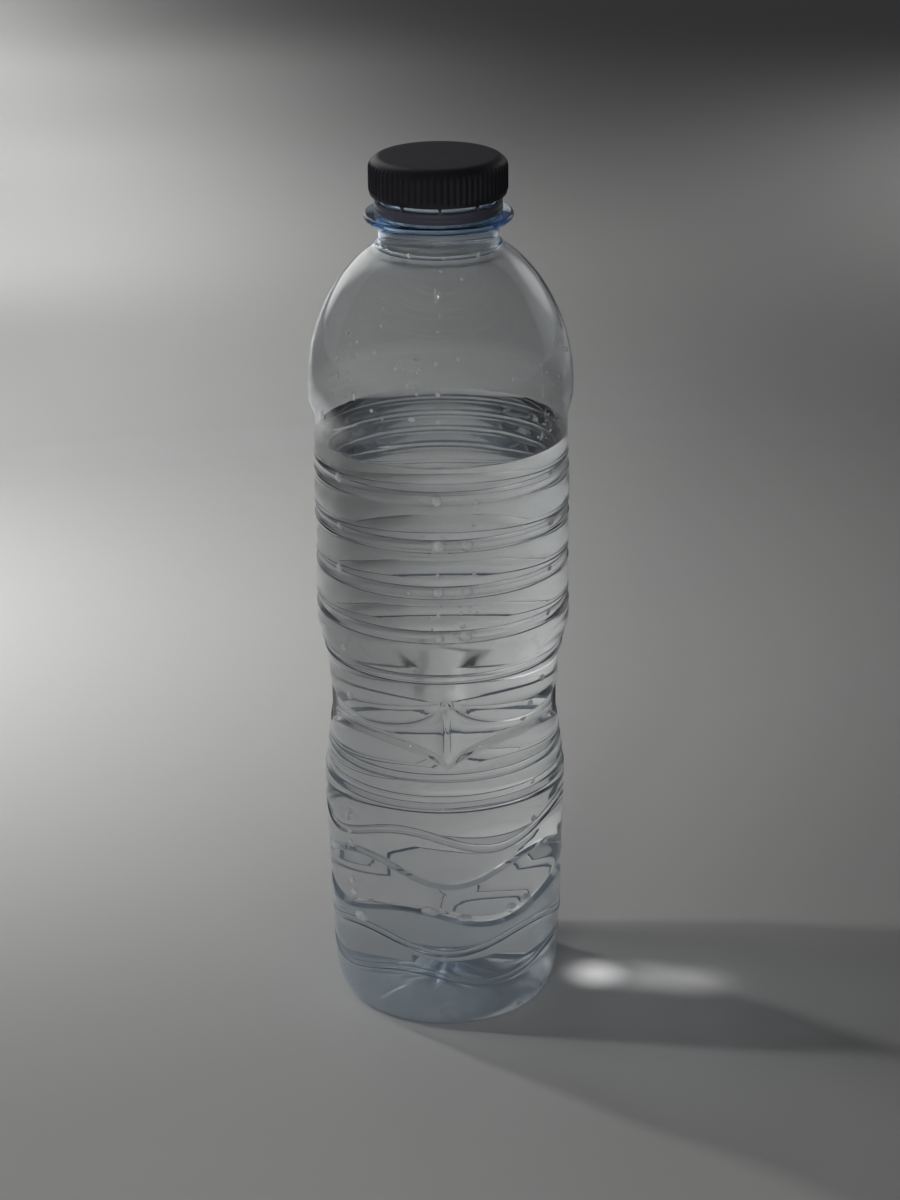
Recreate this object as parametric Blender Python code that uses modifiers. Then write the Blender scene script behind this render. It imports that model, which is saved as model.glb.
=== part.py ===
"""Half-litre PET water bottle, part full, with its screw cap and tamper band.

Metres, +Z up. The origin is at the middle of the standing ring, on the surface the bottle stands on.
The front of the bottle faces -Y.
"""

import math

import bmesh
import bpy
from mathutils import Matrix

MM = 0.001

# Driving dimensions, in millimetres
WALL = 0.4  # thickness of the blown wall
GAP = 0.3  # clearance between pieces that touch
SIDES = 36  # flat sides round the blown body
NECK_SIDES = 48  # flat sides round the cap and the tamper band

MOUTH_LEVEL = 211.2
MOUTH_CHAMFER = 0.4
BORE_RADIUS = 12.2
BORE_FOOT = 190.8  # where the bore opens into the shoulder
NECK_RADIUS = 13.1  # above the support ring
LOCKING_BEAD = (13.7, 203.2, 0.6)  # radius, level and half height of the bead that traps the tamper band
SUPPORT_RING = (17.35, 198.0, 199.95)  # radius, lower and upper level
SUPPORT_RING_EDGE = 0.6  # bevel of its rim
COLLAR_RADIUS = 14.0  # below the support ring
COLLAR_DROP = 0.3  # slope from the support ring to the collar
NECK_BASE_RING = (15.0, 192.3, 0.7)  # radius, level and half height

SHOULDER_LEVEL = 158.5  # where the body is widest
SHOULDER_RADIUS = 31.3
SHOULDER_HEIGHT = 38.3  # half height of the ellipse that the shoulder follows
SHOULDER_TOP = 191.4
SHOULDER_FOOT = ((31.1, 155.6), (30.3, 153.2), (29.95, 151.5))  # the step in below the shoulder
LINING_TOP_ANGLE = 58.0  # where the lining of the shoulder meets the thick neck
HEEL_LINING_ANGLES = (-15.0, -80.0)

WATER_LEVEL = 147.0

# Level rings pressed into the body: level, width and depth
RING_GROOVES = (
    (140.6, 4.2, 0.7),
    (129.0, 3.2, 0.7),
    (117.5, 3.2, 0.7),
    (106.4, 3.2, 0.7),
    (95.2, 2.6, 0.6),
)
LOWER_RING_GROOVES = ((69.1, 2.0, 0.5), (62.9, 3.4, 0.6))

# The pattern of the waist and the waves repeats four times round the body
REPEATS = 4
RIDGE_ANGLE = 1.5  # degrees from the front, where a ridge of the waist stands
# Wavy grooves: mean level, half height of the wave, angle of a crest in degrees, width and depth
WAVE_GROOVES = (
    (52.5, 2.7, -20.0, 2.2, 0.6),
    (43.5, 2.9, -42.0, 2.4, 0.55),
    (32.3, 2.2, -20.0, 2.4, 0.8),
    (23.8, 2.2, -43.0, 1.8, 0.4),
    (14.6, 2.1, -20.0, 1.6, 0.35),
)
WAVES_END = (60.0, 9.0)  # levels above and below which nothing waves

WAIST_EDGE = 90.0  # level ring above the waist
WAIST_RIMS = (27.9, 28.0)  # radius just above and just below the recess
WAIST_TOP = (88.0, 82.5)  # upper edge of the recess, at a ridge and half way between two
WAIST_FOOT = (71.6, 77.2)  # lower edge of the recess, at a ridge and half way between two
WAIST_SLOPE = 0.8  # half height of the slope at each edge of the recess
WAIST_RADIUS = 26.5
RIDGE_HEIGHT = 1.2
RIDGE_HALF_ANGLE = 11.0
RIDGE_HALF_LENGTH = 7.6

BAND_SWELL = 0.15  # how far the band between two grooves swells at its middle

# Radius of the body between the grooves, by level
BODY_RADII = (
    (151.5, 29.95),
    (134.8, 30.3),
    (123.0, 30.2),
    (112.0, 30.2),
    (101.0, 30.4),
    (97.0, 29.5),
    (93.0, 28.6),
    (90.0, 28.1),
    (89.0, 27.9),
    (71.0, 28.0),
    (66.0, 28.7),
    (60.0, 29.5),
    (54.0, 29.45),
    (46.0, 29.1),
    (38.0, 28.95),
    (28.0, 28.7),
    (20.0, 28.45),
    (10.5, 28.1),
)

HEEL_LEVEL = 10.5
STANDING_RING = (22.6, 24.4)  # inner and outer radius of the flat that the bottle stands on
PUSH_UP_HEIGHT = 7.6
PUSH_UP_SHARES = (1.0, 0.86, 0.66, 0.44, 0.27)  # rows of its curve, as shares of the ring's inner radius
PUSH_UP_RIBS = 8
PUSH_UP_RIB_DEPTH = 0.5
PUSH_UP_RIB_REACH = 13.0  # how far from the axis a rib runs
BASE_WALL = 1.2  # thickness at the middle of the base
GATE_RADIUS = 2.2  # moulding gate in the middle of the base
GATE_DROP = 1.2
GATE_FLARE = (0.4, 0.2)  # how far the gate flares out and down where it joins the base

CAP_RADIUS = 15.8  # at the root of the grip ridges
CAP_TOP = 213.0
CAP_FOOT = 204.3
CAP_EDGE = 2.6  # rounding of the top edge
CAP_EDGE_STEPS = 6
CAP_INNER_RADIUS = 14.3
CAP_ROOF = 1.5
SEAL_RADII = (10.9, 11.9)
SEAL_LENGTH = 2.4
GRIP_RIDGES = 72
GRIP_RIDGE_HEIGHT = 0.27
GRIP_RIDGE_WIDTH = 0.7
GRIP_RIDGE_ROOT = 0.15  # how far a ridge is rooted in the cap
GRIP_LEVELS = (205.0, 211.2)

BAND_RADII = (14.0, 14.6)
BAND_LEVELS = (200.3, 203.5)
BAND_LIP_RADIUS = 13.4  # the lip that catches under the locking bead
BAND_LIP_LEVELS = (200.8, 201.1)  # its slope, from the inner edge to the band
BRIDGES = 10  # broken bridges between the cap and the tamper band
BRIDGE_SIZE = (0.55, 0.8, 0.25)  # across, out from the axis, and height of each stub of the cap
BAND_STUB_DEPTH = 0.45  # out from the axis, of each stub of the band
STUB_ROOT = 0.2  # how far a stub is rooted in its rim
STUB_INSET = 0.05  # from the inside of the cap's wall


def clear_scene():
    for obj in list(bpy.data.objects):
        bpy.data.objects.remove(obj, do_unlink=True)


def new_collection(name, render=True):
    collection = bpy.data.collections.new(name)
    bpy.context.scene.collection.children.link(collection)
    collection.hide_render = not render
    return collection


def material(name, colour, roughness, transmission=0.0, ior=1.5):
    made = bpy.data.materials.new(name)
    made.use_nodes = True
    made.diffuse_color = (*colour, 1.0)
    shader = made.node_tree.nodes["Principled BSDF"]
    shader.inputs["Base Color"].default_value = (*colour, 1.0)
    shader.inputs["Roughness"].default_value = roughness
    shader.inputs["Metallic"].default_value = 0.0
    shader.inputs["Transmission Weight"].default_value = transmission
    shader.inputs["IOR"].default_value = ior
    return made


def between(level, table):
    """Value at a level, from a table of (level, value) that runs downwards."""
    if level >= table[0][0]:
        return table[0][1]
    for (upper, first), (lower, second) in zip(table, table[1:]):
        if level >= lower:
            return second + (first - second) * (level - lower) / (upper - lower)
    return table[-1][1]


def body_radius(level):
    return between(level, BODY_RADII)


def arc(centre_radius, centre_level, across, height, start, end, steps):
    """Points of an ellipse in the profile, at angles in degrees from outwards."""
    angles = [math.radians(start + (end - start) * i / steps) for i in range(steps + 1)]
    return [
        (centre_radius + across * math.cos(angle), centre_level + height * math.sin(angle))
        for angle in angles
    ]


def groove(level, width, depth):
    """Upper edge, bottom and lower edge of one groove, outside the wall."""
    upper = level + width / 2
    lower = level - width / 2
    return [
        (body_radius(upper), upper),
        (body_radius(level) - depth, level),
        (body_radius(lower), lower),
    ]


def with_bands(features):
    """The profile of a run of grooves, with a point half way along each band between two of them."""
    points = list(features[0])
    for feature in features[1:]:
        middle = (points[-1][1] + feature[0][1]) / 2
        points.append((body_radius(middle) + BAND_SWELL, middle))
        points.extend(feature)
    return points


def mean_level(edge):
    return sum(edge) / 2


def finish_profile():
    """The neck from the mouth to the shoulder."""
    bead_radius, bead_level, bead_half = LOCKING_BEAD
    ring_radius, ring_foot, ring_top = SUPPORT_RING
    base_radius, base_level, base_half = NECK_BASE_RING
    ring_middle = (ring_foot + ring_top) / 2
    return [
        (NECK_RADIUS - MOUTH_CHAMFER, MOUTH_LEVEL),
        (NECK_RADIUS, MOUTH_LEVEL - MOUTH_CHAMFER),
        (NECK_RADIUS, bead_level + bead_half),
        (bead_radius, bead_level),
        (NECK_RADIUS, bead_level - bead_half),
        (NECK_RADIUS, ring_top),
        (ring_radius - SUPPORT_RING_EDGE, ring_top),
        (ring_radius, ring_middle),
        (ring_radius - SUPPORT_RING_EDGE, ring_foot),
        (COLLAR_RADIUS, ring_foot - COLLAR_DROP),
        (COLLAR_RADIUS, base_level + base_half),
        (base_radius, base_level),
    ]


def shoulder_profile():
    start = math.degrees(math.asin((SHOULDER_TOP - SHOULDER_LEVEL) / SHOULDER_HEIGHT))
    points = arc(0.0, SHOULDER_LEVEL, SHOULDER_RADIUS, SHOULDER_HEIGHT, start, 0.0, 8)
    return points + list(SHOULDER_FOOT)


def waist_profile():
    """From the ring above the waist to the foot of its recess."""
    top = mean_level(WAIST_TOP)
    foot = mean_level(WAIST_FOOT)
    levels = [top - WAIST_SLOPE - (top - foot - 2 * WAIST_SLOPE) * i / 4 for i in range(5)]
    return (
        [(body_radius(WAIST_EDGE), WAIST_EDGE), (WAIST_RIMS[0], top + WAIST_SLOPE)]
        + [(WAIST_RADIUS, level) for level in levels]
        + [(WAIST_RIMS[1], foot - WAIST_SLOPE)]
    )


def heel_profile():
    across = body_radius(HEEL_LEVEL) - STANDING_RING[1]
    return arc(STANDING_RING[1], HEEL_LEVEL, across, HEEL_LEVEL, 0.0, -90.0, 5)


def push_up_profile(outside=True):
    """The hollow under the base, from the standing ring to the axis."""
    rim = STANDING_RING[0]
    points = []
    for share in PUSH_UP_SHARES:
        rise = PUSH_UP_HEIGHT * (0.5 + 0.5 * math.cos(math.pi * share))
        points.append((rim * share, rise))
    if not outside:
        return points + [(0.0, PUSH_UP_HEIGHT)]
    gate_foot = PUSH_UP_HEIGHT - GATE_DROP
    root = (GATE_RADIUS + GATE_FLARE[0], PUSH_UP_HEIGHT - GATE_FLARE[1])
    return points + [root, (GATE_RADIUS, gate_foot), (0.0, gate_foot)]


def outer_profile():
    rings = with_bands([groove(*ring) for ring in RING_GROOVES])
    lower = [groove(*ring) for ring in LOWER_RING_GROOVES]
    lower += [groove(level, width, depth) for level, _, _, width, depth in WAVE_GROOVES]
    return (
        finish_profile()
        + shoulder_profile()
        + rings
        + waist_profile()
        + with_bands(lower)
        + heel_profile()
        + push_up_profile()
    )


def lining_profile(inset):
    """The inner face of the body, inset from the outer one: its bands, groove bottoms and waist."""
    across = SHOULDER_RADIUS - inset
    height = SHOULDER_HEIGHT - inset
    points = arc(0.0, SHOULDER_LEVEL, across, height, LINING_TOP_ANGLE, 0.0, 6)
    points += [(radius - inset, level) for radius, level in SHOULDER_FOOT]
    grooves = [(level, depth) for level, _, depth in RING_GROOVES]
    for index, (level, depth) in enumerate(grooves):
        points.append((body_radius(level) - depth - inset, level))
        following = grooves[index + 1][0] if index + 1 < len(grooves) else WAIST_EDGE
        middle = (level + following) / 2
        points.append((body_radius(middle) + BAND_SWELL - inset, middle))
    points += [(radius - inset, level) for radius, level in waist_profile()]
    lower = [(level, depth) for level, _, depth in LOWER_RING_GROOVES]
    lower += [(level, depth) for level, _, _, _, depth in WAVE_GROOVES]
    for index, (level, depth) in enumerate(lower):
        points.append((body_radius(level) - depth - inset, level))
        following = lower[index + 1][0] if index + 1 < len(lower) else HEEL_LEVEL
        middle = (level + following) / 2
        points.append((body_radius(middle) + BAND_SWELL - inset, middle))
    across = body_radius(HEEL_LEVEL) - STANDING_RING[1] - inset
    return points + arc(STANDING_RING[1], HEEL_LEVEL, across, HEEL_LEVEL - inset, *HEEL_LINING_ANGLES, 3)


def base_lining(inset, centre_inset):
    """The inner face of the base, thicker towards the middle."""
    points = []
    for radius, rise in push_up_profile(outside=False):
        share = radius / STANDING_RING[0]
        points.append((radius, rise + centre_inset + (inset - centre_inset) * share**2))
    return points


def wave(angle, half_height, crest):
    return half_height * math.cos(math.radians(REPEATS * (angle - crest)))


def lift(angle, level):
    """How far a point at this angle and mean level is raised, so that grooves and waist edges wave."""
    from_ridge = abs(math.sin(math.radians(REPEATS / 2 * (angle - RIDGE_ANGLE))))
    edges = []
    for at_ridge, between_ridges in (WAIST_TOP, WAIST_FOOT):
        height = at_ridge + (between_ridges - at_ridge) * from_ridge
        edges.append((mean_level((at_ridge, between_ridges)), height))
    rows = [(WAIST_EDGE, 0.0)]
    rows.append((edges[0][0] + WAIST_SLOPE, edges[0][1] - edges[0][0]))
    rows.append((edges[0][0] - WAIST_SLOPE, edges[0][1] - edges[0][0]))
    rows.append((edges[1][0] + WAIST_SLOPE, edges[1][1] - edges[1][0]))
    rows.append((edges[1][0] - WAIST_SLOPE, edges[1][1] - edges[1][0]))
    upper_ring, width, _ = LOWER_RING_GROOVES[0]
    rows.append((upper_ring + width / 2, 0.0))
    rows.append((WAVES_END[0], 0.0))
    rows += [(mean, wave(angle, half, crest)) for mean, half, crest, _, _ in WAVE_GROOVES]
    rows.append((WAVES_END[1], 0.0))
    return between(level, rows)


def ridge_height(angle, level):
    """Height of the ridge that stands in each panel of the waist."""
    turn = 360.0 / REPEATS
    off = (angle - RIDGE_ANGLE + turn / 2) % turn - turn / 2
    along = (level - (WAIST_TOP[0] + WAIST_FOOT[0]) / 2) / RIDGE_HALF_LENGTH
    if abs(along) >= 1.0:
        return 0.0
    half_angle = RIDGE_HALF_ANGLE * math.sqrt(1.0 - along**2)
    return RIDGE_HEIGHT * (1.0 - along**2) * max(0.0, 1.0 - abs(off) / half_angle)


def shape_body(mesh):
    """Turns the round body into the real one: waves, the waist's panels and ridges, and the ribbed base."""
    for vertex in mesh.vertices:
        radius = math.hypot(vertex.co.x, vertex.co.y) / MM
        level = vertex.co.z / MM
        angle = math.degrees(math.atan2(vertex.co.x, -vertex.co.y)) + RIDGE_ANGLE
        if radius > STANDING_RING[1]:
            level += lift(angle, level)
            radius += ridge_height(angle, level)
        elif level < HEEL_LEVEL and radius < STANDING_RING[0]:
            share = min(radius / PUSH_UP_RIB_REACH, 1.0)
            rib = math.cos(math.radians(PUSH_UP_RIBS * (angle - RIDGE_ANGLE)))
            level += PUSH_UP_RIB_DEPTH * rib * (math.sin(math.pi * share) ** 2)
        turned = math.radians(angle)
        vertex.co = (
            radius * math.sin(turned) * MM,
            -radius * math.cos(turned) * MM,
            level * MM,
        )
    split_quads(mesh)


def split_quads(mesh):
    """Splits each twisted quad along its shorter diagonal, so that nested pieces fold the same way."""
    shape = bmesh.new()
    shape.from_mesh(mesh)
    bmesh.ops.triangulate(shape, faces=shape.faces, quad_method="SHORT_EDGE")
    shape.to_mesh(mesh)
    shape.free()


def turned_object(name, profile, collection, surface, sides):
    """A closed solid from a profile in millimetres that runs down its outer side."""
    mesh = bpy.data.meshes.new(name)
    points = [(radius * MM, 0.0, level * MM) for radius, level in profile]
    edges = [(i, i + 1) for i in range(len(points) - 1)]
    if profile[0][0] > 0.0:
        edges.append((len(points) - 1, 0))
    mesh.from_pydata(points, edges, [])
    obj = bpy.data.objects.new(name, mesh)
    collection.objects.link(obj)
    screw = obj.modifiers.new("Turned", "SCREW")
    screw.axis = "Z"
    screw.steps = sides
    screw.render_steps = sides
    screw.use_merge_vertices = True
    screw.merge_threshold = 0.00001
    graph = bpy.context.evaluated_depsgraph_get()
    solid = bpy.data.meshes.new_from_object(obj.evaluated_get(graph))
    obj.modifiers.clear()
    obj.data = solid
    solid.name = name
    solid.materials.clear()
    solid.materials.append(surface)
    return obj


def smooth(obj, angle=35.0):
    obj.data.shade_smooth()
    obj.data.set_sharp_from_angle(angle=math.radians(angle))


def ring_of_boxes(name, collection, count, size, radius, level):
    """Boxes round the axis, each with its middle at this radius and level."""
    shape = bmesh.new()
    for index in range(count):
        turn = Matrix.Rotation(2.0 * math.pi * index / count, 4, "Z")
        place = Matrix.Translation((0.0, -radius * MM, level * MM))
        scale = Matrix.Diagonal((size[0] * MM, size[1] * MM, size[2] * MM, 1.0))
        bmesh.ops.create_cube(shape, size=1.0, matrix=turn @ place @ scale)
    return helper_object(name, shape, collection)


def grip_ridges(name, collection):
    """Upright three-sided ridges round the cap."""
    shape = bmesh.new()
    height = GRIP_LEVELS[1] - GRIP_LEVELS[0]
    root = CAP_RADIUS - GRIP_RIDGE_ROOT
    crest = CAP_RADIUS + GRIP_RIDGE_HEIGHT
    for index in range(GRIP_RIDGES):
        turn = Matrix.Rotation(2.0 * math.pi * (index + 0.5) / GRIP_RIDGES, 4, "Z")
        corners = [(-GRIP_RIDGE_WIDTH / 2, root), (GRIP_RIDGE_WIDTH / 2, root), (0.0, crest)]
        foot = [
            shape.verts.new(turn @ Matrix.Translation((x * MM, -y * MM, GRIP_LEVELS[0] * MM)).translation)
            for x, y in corners
        ]
        face = shape.faces.new(foot)
        grown = bmesh.ops.extrude_face_region(shape, geom=[face])["geom"]
        risen = [item for item in grown if isinstance(item, bmesh.types.BMVert)]
        bmesh.ops.translate(shape, verts=risen, vec=(0.0, 0.0, height * MM))
    bmesh.ops.recalc_face_normals(shape, faces=shape.faces)
    return helper_object(name, shape, collection)


def helper_object(name, shape, collection):
    mesh = bpy.data.meshes.new(name)
    shape.to_mesh(mesh)
    shape.free()
    obj = bpy.data.objects.new(name, mesh)
    obj.hide_render = True
    obj.display_type = "WIRE"
    collection.objects.link(obj)
    return obj


def join_helper(obj, helper):
    union = obj.modifiers.new("Union with " + helper.name, "BOOLEAN")
    union.operation = "UNION"
    union.solver = "EXACT"
    union.object = helper


def make_bottle(parts, surface):
    neck_lining = [(BORE_RADIUS, BORE_FOOT), (BORE_RADIUS, MOUTH_LEVEL)]
    inside = lining_profile(WALL) + base_lining(WALL, BASE_WALL)
    profile = outer_profile() + list(reversed(inside)) + neck_lining
    obj = turned_object("bottle", profile, parts, surface, SIDES)
    shape_body(obj.data)
    smooth(obj)
    return obj


def make_water(parts, surface):
    inset = WALL + GAP
    lining = lining_profile(inset)
    rim_radius = between(WATER_LEVEL, [(level, radius) for radius, level in lining])
    side = [(radius, level) for radius, level in lining if level < WATER_LEVEL]
    profile = [(0.0, WATER_LEVEL), (rim_radius, WATER_LEVEL)] + side + base_lining(inset, BASE_WALL + GAP)
    obj = turned_object("water", profile, parts, surface, SIDES)
    shape_body(obj.data)
    smooth(obj)
    return obj


def make_cap(parts, helpers, surface):
    roof = CAP_TOP - CAP_ROOF
    profile = [(0.0, CAP_TOP)]
    profile += arc(CAP_RADIUS - CAP_EDGE, CAP_TOP - CAP_EDGE, CAP_EDGE, CAP_EDGE, 90.0, 0.0, CAP_EDGE_STEPS)
    profile += [
        (CAP_RADIUS, CAP_FOOT),
        (CAP_INNER_RADIUS, CAP_FOOT),
        (CAP_INNER_RADIUS, roof),
        (SEAL_RADII[1], roof),
        (SEAL_RADII[1], roof - SEAL_LENGTH),
        (SEAL_RADII[0], roof - SEAL_LENGTH),
        (SEAL_RADII[0], roof),
        (0.0, roof),
    ]
    obj = turned_object("screw_cap", profile, parts, surface, NECK_SIDES)
    join_helper(obj, grip_ridges("cap_grip_ridges", helpers))
    across, out, height = BRIDGE_SIZE
    radius = CAP_INNER_RADIUS + STUB_INSET + out / 2
    level = CAP_FOOT + (STUB_ROOT - height) / 2
    stubs = ring_of_boxes("cap_stubs", helpers, BRIDGES, (across, out, height + STUB_ROOT), radius, level)
    join_helper(obj, stubs)
    smooth(obj)
    return obj


def make_band(parts, helpers, surface):
    inner, outer = BAND_RADII
    foot, top = BAND_LEVELS
    profile = [
        (outer, top),
        (outer, foot),
        (BAND_LIP_RADIUS, foot),
        (BAND_LIP_RADIUS, BAND_LIP_LEVELS[0]),
        (inner, BAND_LIP_LEVELS[1]),
        (inner, top),
    ]
    obj = turned_object("tamper_band", profile, parts, surface, NECK_SIDES)
    across, _, height = BRIDGE_SIZE
    level = top + (height - STUB_ROOT) / 2
    size = (across, BAND_STUB_DEPTH, height + STUB_ROOT)
    stubs = ring_of_boxes("band_stubs", helpers, BRIDGES, size, (inner + outer) / 2, level)
    join_helper(obj, stubs)
    smooth(obj)
    return obj


def build():
    clear_scene()
    parts = new_collection("water_bottle")
    helpers = new_collection("helpers", render=False)
    clear_plastic = material("clear_pet", (0.80, 0.87, 0.90), 0.06, 1.0, 1.57)
    dark_plastic = material("dark_blue_plastic", (0.012, 0.014, 0.022), 0.38)
    still_water = material("still_water", (0.93, 0.97, 0.99), 0.0, 1.0, 1.33)
    make_bottle(parts, clear_plastic)
    make_water(parts, still_water)
    make_cap(parts, helpers, dark_plastic)
    make_band(parts, helpers, dark_plastic)


build()
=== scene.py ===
import math
import random

import bmesh
import bpy
from mathutils import Matrix, Vector


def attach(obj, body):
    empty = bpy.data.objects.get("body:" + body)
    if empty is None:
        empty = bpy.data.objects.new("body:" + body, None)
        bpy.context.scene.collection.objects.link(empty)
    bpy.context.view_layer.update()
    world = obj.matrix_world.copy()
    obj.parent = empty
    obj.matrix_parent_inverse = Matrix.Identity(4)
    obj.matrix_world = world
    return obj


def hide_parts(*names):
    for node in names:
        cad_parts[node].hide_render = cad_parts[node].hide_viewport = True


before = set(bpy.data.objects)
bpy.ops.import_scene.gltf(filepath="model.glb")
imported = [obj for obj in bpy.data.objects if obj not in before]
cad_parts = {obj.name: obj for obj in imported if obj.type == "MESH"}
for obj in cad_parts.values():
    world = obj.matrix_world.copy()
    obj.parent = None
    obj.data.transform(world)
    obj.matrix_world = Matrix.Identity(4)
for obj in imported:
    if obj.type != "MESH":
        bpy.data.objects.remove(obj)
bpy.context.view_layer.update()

mm = 0.001
fullTurn = 2 * math.pi


class Wire:
    # an output socket, so that sums on it add Math nodes
    def __init__(self, paint, socket):
        self.paint = paint
        self.socket = socket

    def __add__(self, other):
        return self.paint.maths("ADD", self, other)

    def __sub__(self, other):
        return self.paint.maths("SUBTRACT", self, other)

    def __rsub__(self, other):
        return self.paint.maths("SUBTRACT", other, self)

    def __mul__(self, other):
        return self.paint.maths("MULTIPLY", self, other)

    __radd__ = __add__
    __rmul__ = __mul__


class Paint:
    # the nodes of one material, or of the world
    def __init__(self, material, output="ShaderNodeOutputMaterial"):
        self.material = material
        material.use_nodes = True
        self.tree = material.node_tree
        self.tree.nodes.clear()
        self.output = self.tree.nodes.new(output)

    def feed(self, socket, value):
        if isinstance(value, Wire):
            self.tree.links.new(value.socket, socket)
        elif socket.type == "RGBA":
            socket.default_value = (*value, 1.0)
        else:
            socket.default_value = value

    def add(self, kind, settings, sockets, out=0):
        node = self.tree.nodes.new(kind)
        for name, value in settings.items():
            setattr(node, name, value)
        for name, value in sockets.items():
            self.feed(node.inputs[name], value)
        return Wire(self, node.outputs[out])

    def maths(self, operation, first, second):
        return self.add("ShaderNodeMath", {"operation": operation}, {0: first, 1: second})

    def place(self):
        return self.add("ShaderNodeTexCoord", {}, {}, "Object")

    def axis(self, letter):
        return self.add("ShaderNodeSeparateXYZ", {}, {0: self.place()}, letter)

    def noise(self, scale, detail=3.0, roughness=0.5):
        sockets = {"Vector": self.place(), "Scale": scale, "Detail": detail, "Roughness": roughness}
        return self.add("ShaderNodeTexNoise", {}, sockets, "Fac")

    def between(self, value, low, high, outLow=0.0, outHigh=1.0):
        sockets = {"Value": value, "From Min": low, "From Max": high, "To Min": outLow, "To Max": outHigh}
        return self.add("ShaderNodeMapRange", {"interpolation_type": "SMOOTHSTEP"}, sockets)

    def belt(self, level, edges):
        # 1 at the levels between two soft edges, each of them given from 0 to 1
        first, second = edges
        return self.between(level, *first) * self.between(level, *second)

    def mixColour(self, share, first, second):
        return self.add("ShaderNodeMix", {"data_type": "RGBA"}, {0: share, 6: first, 7: second}, 2)

    def bump(self, height, distance):
        return self.add("ShaderNodeBump", {}, {"Height": height, "Distance": distance, "Strength": 1.0})

    def surface(self, shader):
        self.tree.links.new(shader.socket, self.output.inputs["Surface"])
        return self.material

    def volume(self, shader):
        self.tree.links.new(shader.socket, self.output.inputs["Volume"])


def clearShader(paint, sockets, lampTint, edgeShade):
    # clear stuff that lets lamps through, less so where it is seen edge on
    glass = paint.add("ShaderNodeBsdfPrincipled", {}, {"Transmission Weight": 1.0, **sockets})
    lampLight = paint.add("ShaderNodeBsdfTransparent", {}, {"Color": lampTint})
    facing = paint.add("ShaderNodeLayerWeight", {}, {"Blend": 0.5}, "Facing")
    shadowRay = paint.add("ShaderNodeLightPath", {}, {}, "Is Shadow Ray")
    share = shadowRay * (1.0 - facing * edgeShade)
    return paint.add("ShaderNodeMixShader", {}, {0: share, 1: glass, 2: lampLight})


# clear blown plastic, with levels in metres
pet = {
    "ior": 1.57,
    "density": 115.0,
    "absorb": (0.0, 0.50, 0.89),  # what thick places let through
    "clear": (0.995, 0.982, 0.972),
    # painted shade: a darker tint on the body from above the waist up to the neck, with less of it round the
    # water line
    "paintedShade": (0.85, 0.845, 0.835),
    "paintedShadeEdges": ((0.074, 0.125), (0.1925, 0.188)),
    "waterLineEdges": ((0.144, 0.148), (0.161, 0.157)),
    "waterLineShare": 0.9,  # how much of the painted shade goes away round the water line
    "ringTint": (0.87, 0.90, 0.96),
    "ringEdges": ((0.2004, 0.2001), (0.1976, 0.1982)),
    "footEdge": (0.020, 0.005),
    "haze": 0.26,
    "hazeColour": (0.68, 0.79, 0.86),
    "hazeRoughness": 0.35,
    "roughest": 0.035,  # on the body, and what the foot adds to it
    "footRoughness": 0.10,
    "bump": 0.00006,
    "lampTint": (0.93, 0.93, 0.94),
    "edgeShade": 0.55,
}


def clearPetPaint():
    paint = Paint(bpy.data.materials.new("clear_pet"))
    level = paint.axis("Z")
    mottle = paint.noise(120.0, 4.0)
    ring = paint.belt(level, pet["ringEdges"])
    foot = paint.between(level, *pet["footEdge"])
    nearWaterLine = paint.belt(level, pet["waterLineEdges"])
    # painted shade: the body is tinted darker from above the waist up to the neck, less so round the water
    # line
    paintedShade = paint.belt(level, pet["paintedShadeEdges"])
    paintedShade = paintedShade * (1.0 - nearWaterLine * pet["waterLineShare"])
    colour = paint.mixColour(paintedShade, pet["clear"], pet["paintedShade"])
    colour = paint.mixColour(ring, colour, pet["ringTint"])
    swirl = paint.noise(55.0, 2.0)
    grain = paint.noise(900.0, 1.0)
    rough = paint.between(paint.noise(180.0), 0.35, 0.8, 0.0, pet["roughest"])
    sockets = {
        "Base Color": colour,
        "Roughness": rough + foot * mottle * pet["footRoughness"],
        "IOR": pet["ior"],
        "Normal": paint.bump(swirl + grain * 0.02, pet["bump"]),
    }
    clear = clearShader(paint, sockets, pet["lampTint"], pet["edgeShade"] - foot * pet["edgeShade"])
    cloudy = {"Base Color": pet["hazeColour"], "Roughness": pet["hazeRoughness"], "IOR": pet["ior"]}
    haze = paint.add("ShaderNodeBsdfPrincipled", {}, cloudy)
    share = foot * (0.6 + mottle * 0.8) * pet["haze"]
    paint.surface(paint.add("ShaderNodeMixShader", {}, {0: share, 1: clear, 2: haze}))
    absorb = {"Color": pet["absorb"], "Density": pet["density"]}
    paint.volume(paint.add("ShaderNodeVolumeAbsorption", {}, absorb))
    return paint.material


# clear water, still or in drops
wet = {
    "ior": 1.333,
    "lampTint": (0.92, 0.93, 0.94),
    "edgeShade": 0.3,
    "milky": (0.95, 0.96, 0.97),
    "milkyRoughness": 0.1,
    "milkyShare": (0.3, 0.5),  # least and most, in the drops
}


def waterShader(paint):
    sockets = {"Base Color": (1.0, 1.0, 1.0), "Roughness": 0.0, "IOR": wet["ior"]}
    return clearShader(paint, sockets, wet["lampTint"], wet["edgeShade"])


def waterPaint():
    paint = Paint(bpy.data.materials.new("still_water"))
    return paint.surface(waterShader(paint))


def dropPaint():
    # drops hold some milky light, so that they show against the water behind
    paint = Paint(bpy.data.materials.new("water_drops"))
    clear = waterShader(paint)
    sockets = {"Base Color": wet["milky"], "Roughness": wet["milkyRoughness"], "IOR": wet["ior"]}
    milky = paint.add("ShaderNodeBsdfPrincipled", {}, sockets)
    share = paint.between(paint.noise(400.0, 2.0), 0.3, 0.7, *wet["milkyShare"])
    return paint.surface(paint.add("ShaderNodeMixShader", {}, {0: share, 1: clear, 2: milky}))


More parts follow.
